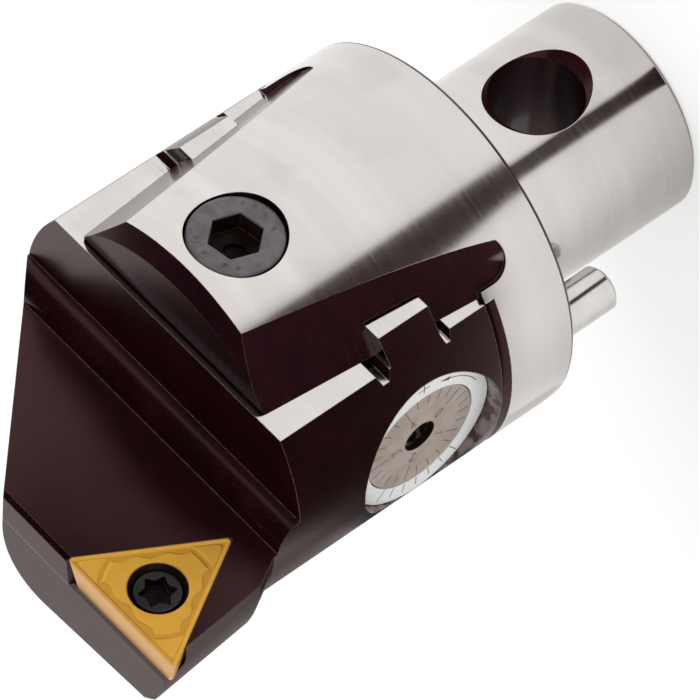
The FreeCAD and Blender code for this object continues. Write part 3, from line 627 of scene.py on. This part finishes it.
def make_slide_skin():
    """Black oxide with ground steel on the joint plane and on the tongue."""
    nodes = Nodes("black_oxide")
    place = nodes.place()
    x, y, z = nodes.split(place)
    face = nodes.facing()
    planes = either(nodes, near(nodes, y, JOINT_HEIGHT), near(nodes, y, TONGUE_TOP),
                    near(nodes, y, RELIEF_FLOOR))
    planes = both(nodes, planes, nodes.ramp(face[1], 0.98, 0.99))
    side = both(nodes, near(nodes, z, TONGUE_FRONT), nodes.ramp(y, JOINT_HEIGHT, JOINT_HEIGHT + 0.05))
    side = both(nodes, side, nodes.ramp(face[2], 0.98, 0.99))
    soft, edge = nodes.rounded(0.14)
    base, rough, grain = oxide_look(nodes, place, (0.0062, 0.0008, 0.001), 0.25, edge)
    recess = radial_gap(nodes, y, nodes.math("SUBTRACT", z, DIAL_STATION))
    recess = both(nodes, near(nodes, recess, RECESS_RADIUS, 0.08),
                  nodes.ramp(x, RECESS_FLOOR, RECESS_FLOOR + 0.1))
    rubbing_and_lit_patch = both(nodes, recess, nodes.ramp(nodes.noise(place, 0.8, 4.0), 0.4, 0.62, 0.15, 1.0))
    base = nodes.blend(rubbing_and_lit_patch, base, (0.2, 0.175, 0.165))
    ledge = both(nodes, near(nodes, y, -INSERT_THICKNESS, 0.1), nodes.ramp(z, 54.5, 54.62))
    base = nodes.blend(ledge, base, (0.1, 0.09, 0.094))
    steel = either(nodes, planes, side)
    return two_looks(nodes, steel, steel_look(nodes, place), (base, rough, grain), soft, index=1.5)


def make_black_screw(name, top, low, colour, lit_top, roughness=0.3):
    """Black oxide of a screw, with a painted sheen on its top and painted shade, with less specular, in its
    socket.
    """
    nodes = Nodes(name)
    place = nodes.place()
    y = nodes.split(place)[1]
    soft, edge = nodes.rounded(0.1)
    base, rough, grain = oxide_look(nodes, place, colour, roughness, edge)
    patch = nodes.ramp(nodes.noise(place, 0.9, 4.0), 0.35, 0.65, 0.65, 1.0)
    lit_top_share = nodes.ramp(y, low, top)
    # Painted sheen on the top; the socket keeps the dark oxide as painted shade.
    base = nodes.blend(both(nodes, lit_top_share, patch), base, lit_top)
    # Less specular in the socket than on the top: painted shade.
    return nodes.surface(base, 0.0, rough, nodes.bump(grain, 0.003, 0.16, soft),
                         Specular_IOR_Level=nodes.mix(lit_top_share, 0.08, 0.5))


def make_coated_carbide():
    """Gold coated carbide, satin, with painted shade in the groove and in the countersink, and painted light
    on the front flank and on the edges.
    """
    nodes = Nodes("coated_carbide")
    place = nodes.place()
    x, y, z = nodes.split(place)
    grain = nodes.noise(place, 14.0, 4.0)
    cloud = nodes.noise(place, 0.5, 2.0)
    soft, edge = nodes.rounded(0.06)
    groove = both(nodes, nodes.ramp(y, -0.02, -0.1), nodes.ramp(y, -0.4, -0.2))
    reach = radial_gap(nodes, nodes.math("SUBTRACT", x, INSERT_CENTRE[0]),
                       nodes.math("SUBTRACT", z, INSERT_CENTRE[1]))
    sink = both(nodes, nodes.ramp(reach, 3.12, 3.0), nodes.ramp(y, -0.05, -0.22))
    colour = nodes.blend(nodes.ramp(cloud, 0.3, 0.7), (0.69, 0.365, 0.038), (0.73, 0.39, 0.05))
    # Painted shade in the groove.
    colour = nodes.blend(both(nodes, groove, 0.45), colour, (0.48, 0.21, 0.012))
    # Painted light on the front flank.
    lit_flank = both(nodes, nodes.ramp(y, -0.1, -0.2), nodes.ramp(z, 54.0, 54.6))
    colour = nodes.blend(both(nodes, lit_flank, 0.6), colour, (0.72, 0.46, 0.24))
    # Painted highlight on the edges.
    colour = nodes.blend(both(nodes, edge, 0.6), colour, (0.95, 0.72, 0.35))
    # Painted shade on the countersink's wall.
    colour = nodes.blend(sink, colour, (0.012, 0.006, 0.003))
    rough = nodes.ramp(grain, 0.3, 0.7, 0.38, 0.5)
    normal = nodes.bump(grain, 0.006, 0.2, soft)
    return nodes.surface(colour, 0.6, rough, normal)


def make_satin_metal(name, low, high, metallic, roughness):
    """A satin metal with a fine grain and a painted highlight on its edges."""
    nodes = Nodes(name)
    place = nodes.place()
    grain = nodes.noise(place, 9.0, 4.0)
    cloud = nodes.noise(place, 0.5, 2.0)
    soft, edge = nodes.rounded(0.08)
    mottle = nodes.math("ADD", both(nodes, grain, 0.5), both(nodes, cloud, 0.5))
    colour = nodes.blend(nodes.ramp(mottle, 0.35, 0.65), low, high)
    # Painted highlight on the edges.
    colour = nodes.blend(both(nodes, edge, 0.5), colour, tuple(min(1.2 * value, 0.95) for value in high))
    rough = nodes.ramp(grain, 0.3, 0.7, roughness * 0.85, roughness * 1.15)
    normal = nodes.bump(grain, 0.005, 0.2, soft)
    return nodes.surface(colour, metallic, rough, normal)


def make_dial_grey():
    """Matt grey of the dial, with painted shade in its bore and at its outer rim."""
    nodes = Nodes("dial_grey")
    place = nodes.place()
    x, y, z = nodes.split(place)
    grain = nodes.noise(place, 9.0, 4.0)
    cloud = nodes.noise(place, 0.5, 2.0)
    soft = nodes.rounded(0.06)[0]
    colour = nodes.blend(nodes.ramp(cloud, 0.35, 0.65), (0.4, 0.338, 0.298), (0.47, 0.405, 0.36))
    colour = nodes.blend(nodes.ramp(grain, 0.55, 0.75, 0.0, 0.3), colour, (0.56, 0.5, 0.45))
    reach = radial_gap(nodes, y, nodes.math("SUBTRACT", z, DIAL_STATION))
    # Painted shade: near black in the bore and at the rim next to the ring.
    bore = both(nodes, nodes.ramp(reach, 2.0, 1.95), nodes.ramp(x, DIAL_FACE - 0.03, DIAL_FACE - 0.1))
    rim = both(nodes, nodes.ramp(reach, DIAL_RADIUS - 0.12, DIAL_RADIUS - 0.04),
               nodes.ramp(x, DIAL_FACE, DIAL_FACE - 0.04))
    painted_shade = either(nodes, bore, nodes.math("POWER", rim, 2.0))
    colour = nodes.blend(painted_shade, colour, (0.012, 0.006, 0.004))
    rough = nodes.ramp(grain, 0.3, 0.7, 0.36, 0.46)
    return nodes.surface(colour, 0.25, rough, nodes.bump(grain, 0.004, 0.2, soft))


def make_screw_steel():
    """Polished steel of the feed screw, with painted shade and painted lit patches, not metal, in its hub's
    socket.
    """
    nodes = Nodes("feed_screw_steel")
    place = nodes.place()
    x, y, z = nodes.split(place)
    grain = nodes.noise(place, 9.0, 4.0)
    reach = radial_gap(nodes, y, nodes.math("SUBTRACT", z, DIAL_STATION))
    # The hub's socket: painted shade, with lighter patches as painted light.
    socket = both(nodes, nodes.ramp(reach, 2.4, 2.3), nodes.ramp(x, HUB_FACE - 3.0, HUB_FACE - 2.9))
    rubbing_and_lit_patch = nodes.ramp(nodes.noise(place, 1.3, 3.0), 0.5, 0.62, 0.0, 1.0)
    painted_shade = nodes.blend(rubbing_and_lit_patch, (0.01, 0.005, 0.004), (0.16, 0.12, 0.1))
    colour = nodes.blend(nodes.ramp(grain, 0.35, 0.65), (0.6, 0.59, 0.58), (0.68, 0.67, 0.66))
    colour = nodes.blend(socket, colour, painted_shade)
    return nodes.surface(colour, nodes.math("SUBTRACT", 1.0, socket), nodes.mix(socket, 0.16, 0.35))


def make_plain_grain(name, low, high, metallic, roughness):
    """A plain material of a hidden piece, with a little grain."""
    nodes = Nodes(name)
    grain = nodes.noise(nodes.place(), 3.0, 3.0)
    colour = nodes.blend(nodes.ramp(grain, 0.3, 0.7), low, high)
    return nodes.surface(colour, metallic, nodes.ramp(grain, 0.3, 0.7, roughness * 0.9, roughness * 1.1))


def paint(thing, material):
    """Gives an object one material in place of what it has."""
    thing.data.materials.clear()
    thing.data.materials.append(material)


# Plain and satin ones take two colours, the share of metal and the roughness
MATERIALS = {
    "ground_steel": make_head_skin(),
    "black_oxide": make_slide_skin(),
    "black_steel": make_black_screw("black_steel", top=-0.55, low=-0.75, colour=(0.004, 0.002, 0.002),
                                    lit_top=(0.011, 0.008, 0.007)),
    "polished_steel": make_satin_metal("polished_steel", (0.6, 0.59, 0.58), (0.68, 0.67, 0.66), 1.0, 0.14),
    "spring_steel": make_plain_grain("spring_steel", (0.2, 0.19, 0.18), (0.27, 0.26, 0.25), 1.0, 0.35),
    "coated_carbide": make_coated_carbide(),
    "satin_chrome": make_satin_metal("satin_chrome", (0.82, 0.85, 0.835), (0.85, 0.88, 0.865), 0.1, 0.3),
    "dial_grey": make_dial_grey(),
    "bronze": make_plain_grain("bronze", (0.36, 0.2, 0.06), (0.45, 0.26, 0.09), 1.0, 0.3),
    "seal_rubber": make_plain_grain("seal_rubber", (0.01, 0.01, 0.01), (0.02, 0.02, 0.02), 0.0, 0.6),
    "drag_plastic": make_plain_grain("drag_plastic", (0.72, 0.7, 0.62), (0.8, 0.77, 0.7), 0.0, 0.5),
}
NODE_SLOTS = {
    "head_body": "ground_steel", "drive_pin": "polished_steel", "feed_nut": "bronze",
    "feed_nut_pin": "polished_steel", "clamp_nut": "black_steel", "clamp_washer": "black_steel",
    "clamp_spring_washer": "spring_steel", "slide_holder": "black_oxide",
    "cutting_insert": "coated_carbide", "insert_screw": "black_steel", "vernier_ring": "satin_chrome",
    "clamp_bore_plug": "black_steel", "front_thrust_washer": "bronze", "rear_thrust_washer": "bronze",
    "dial_spring_washer": "spring_steel", "dial_seal": "seal_rubber", "drag_plug": "drag_plastic",
    "drag_grub_screw": "black_steel", "feed_screw": "polished_steel", "dial_disc": "dial_grey",
    "clamp_screw": "black_steel",
}
for node, slot in NODE_SLOTS.items():
    paint(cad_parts[node], MATERIALS[slot])


def add_piece(piece, body, slot, node=None, material=None):
    """Puts a piece on its body, in its slot and, where a node is named, in that node's place. A
    material of its own takes the place of the slot's."""
    paint(piece, material or MATERIALS[slot])
    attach(piece, body)
    if node:
        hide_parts(node)


paint(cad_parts["feed_screw"], make_screw_steel())
MARK = make_plain_grain("dial_ink", (0.11, 0.07, 0.045), (0.16, 0.11, 0.08), 0.0, 0.6)
add_piece(make_insert(), "slide", "coated_carbide", "cutting_insert")
add_piece(make_insert_screw(), "slide", "black_steel", "insert_screw")
CLAMP_BLACK = make_black_screw("clamp_black", top=CLAMP_TOP - 0.05, low=CLAMP_TOP - 0.3,
                               colour=(0.007, 0.003, 0.002), lit_top=(0.095, 0.085, 0.093),
                               roughness=0.32)
add_piece(make_clamp_screw(), "clamp", "black_steel", "clamp_screw", CLAMP_BLACK)
add_piece(make_dial_face(), "dial", "dial_grey", "dial_disc")
add_piece(make_dial_marks(), "dial", "black_steel", material=MARK)
add_piece(make_ring_marks(), "slide", "black_steel", material=MARK)


# Stage

# Cards that glossy surfaces mirror. A stop of the strip is a distance and two azimuths, a stop of
# a band is an azimuth and two distances, and a plain card has its corners, all in degrees and
# millimetres. The first four lie just over the floor, one is above the part and one beside it.
STRIP = ((12.2, 22.5, 33.5), (22, 22, 34.5), (44, 21.5, 36), (75, 21, 38), (118, 20, 46), (160, 18, 50),
         (400, 16, 54))
SIDE_BAND = ((56, 94, 700), (92, 92, 700), (118, 89, 300), (137, 87, 160), (152, 85, 140), (166, 83.5, 130),
             (180, 82, 124), (200, 79, 116))
NOSE_BAND = ((152, 138, 330), (166, 134, 330), (180, 126, 330), (207, 118, 330))
FLANGE_BAND = ((160, 60, 78), (180, 60, 76), (212, 60, 74))
TOP_CARD = ((-700, -200, 420), (300, -200, 420), (300, 1000, 420), (-700, 1000, 420))
FRONT_CARD = ((-33, 60, 20), (2, 60, 20), (2, 60, 45), (-33, 60, 45))
DARK = (0.006, 0.002, 0.003)
DARK_BROWN = (0.04, 0.022, 0.025)
MID_GREY = (0.3, 0.27, 0.265)
PALE_GREY = (0.62, 0.6, 0.59)
FLOOR_WHITE = (0.93, 0.93, 0.93)
FLOOR_GLOW = 0.6
SKY = (1.0, 0.985, 0.97, 1)
SKY_STRENGTH = 0.92


def make_camera():
    """The camera at the photograph's angle."""
    data = bpy.data.cameras.new("camera")
    data.lens = CAMERA_LENS
    data.sensor_width = CAMERA_SENSOR
    data.clip_start = 0.05
    data.clip_end = 20
    camera = bpy.data.objects.new("camera", data)
    bpy.context.scene.collection.objects.link(camera)
    axes = Matrix((CAMERA_RIGHT, CAMERA_UP, CAMERA_BACK)).transposed().to_4x4()
    camera.matrix_world = Matrix.Translation(CAMERA_PLACE) @ axes
    bpy.context.scene.camera = camera


def flat_card(name, corners, colour, hidden=True):
    """A flat card of the stage from points in millimetres. A hidden one shows only in reflections."""
    mesh = bpy.data.meshes.new(name)
    vertices = [tuple(value * MM for value in point) for point in corners]
    mesh.from_pydata(vertices, [], [tuple(range(len(corners)))])
    card = bpy.data.objects.new(name, mesh)
    bpy.context.scene.collection.objects.link(card)
    nodes = Nodes(name)
    nodes.surface(colour, 0.0, 0.9)
    nodes.feed(nodes.shader.inputs["Specular IOR Level"], 0.0)
    paint(card, nodes.material)
    if hidden:
        card.visible_camera = False
        card.visible_diffuse = False
        card.visible_shadow = False
        card.visible_transmission = False
    return card


def make_floor():
    """A pale floor that stays white behind the part but for the part's soft shadow."""
    reach = 3000
    low = FLOOR - 0.05
    floor = flat_card("floor", [(-reach, -reach, low), (reach, -reach, low), (reach, reach, low),
                                (-reach, reach, low)], FLOOR_WHITE, hidden=False)
    tree = floor.data.materials[0].node_tree
    plain = tree.nodes.new("ShaderNodeEmission")
    path = tree.nodes.new("ShaderNodeLightPath")
    share = tree.nodes.new("ShaderNodeMath")
    share.operation = "MULTIPLY"
    share.inputs[1].default_value = FLOOR_GLOW
    mix = tree.nodes.new("ShaderNodeMixShader")
    tree.links.new(path.outputs["Is Camera Ray"], share.inputs[0])
    tree.links.new(share.outputs[0], mix.inputs[0])
    tree.links.new(tree.nodes["Principled BSDF"].outputs[0], mix.inputs[1])
    tree.links.new(plain.outputs[0], mix.inputs[2])
    tree.links.new(mix.outputs[0], tree.nodes["Material Output"].inputs["Surface"])


def around(distance, azimuth, height):
    """A point of the stage at a distance and an azimuth, from +Y towards +X."""
    turn = math.radians(azimuth)
    return distance * math.sin(turn), distance * math.cos(turn), height


def band(name, stops, colour):
    """Cards just over the floor, side by side. A stop is an azimuth and two distances."""
    for number, (first, second) in enumerate(zip(stops, stops[1:])):
        card = [around(first[1], first[0], FLOOR + 0.1), around(second[1], second[0], FLOOR + 0.1),
                around(second[2], second[0], FLOOR + 0.1), around(first[2], first[0], FLOOR + 0.1)]
        flat_card("%s_%d" % (name, number), card, colour)


def make_stage():
    """The floor, and dark and grey cards that only glossy surfaces mirror."""
    make_floor()
    card = [around(distance, high, FLOOR + 0.05) for distance, low, high in STRIP]
    card += [around(distance, low, FLOOR + 0.05) for distance, low, high in reversed(STRIP)]
    flat_card("dark_strip", card, DARK_BROWN)
    band("dark_side", SIDE_BAND, DARK)
    band("grey_nose", NOSE_BAND, MID_GREY)
    band("grey_flange", FLANGE_BAND, PALE_GREY)
    flat_card("dark_top", TOP_CARD, DARK)
    flat_card("dark_front", FRONT_CARD, DARK)


def make_world():
    """Soft white surroundings, plain white behind the part."""
    world = bpy.data.worlds.new("surroundings")
    bpy.context.scene.world = world
    world.use_nodes = True
    tree = world.node_tree
    background = tree.nodes["Background"]
    background.inputs["Color"].default_value = SKY
    background.inputs["Strength"].default_value = SKY_STRENGTH
    behind = tree.nodes.new("ShaderNodeBackground")
    behind.inputs["Color"].default_value = (1, 1, 1, 1)
    path = tree.nodes.new("ShaderNodeLightPath")
    mix = tree.nodes.new("ShaderNodeMixShader")
    tree.links.new(path.outputs["Is Camera Ray"], mix.inputs[0])
    tree.links.new(background.outputs[0], mix.inputs[1])
    tree.links.new(behind.outputs[0], mix.inputs[2])
    tree.links.new(mix.outputs[0], tree.nodes["World Output"].inputs["Surface"])


def make_lamp(name, place, size, energy):
    """A soft square lamp that looks at the part."""
    data = bpy.data.lights.new(name, "AREA")
    data.size = size
    data.energy = energy
    lamp = bpy.data.objects.new(name, data)
    lamp.location = place
    lamp.rotation_euler = (-Vector(place)).to_track_quat("-Z", "Y").to_euler()
    lamp.visible_glossy = False
    bpy.context.scene.collection.objects.link(lamp)


make_stage()
make_world()
make_camera()
make_lamp("key", (-0.5, 0.5, 0.9), size=0.6, energy=6)
bpy.context.scene.view_settings.view_transform = "Standard"
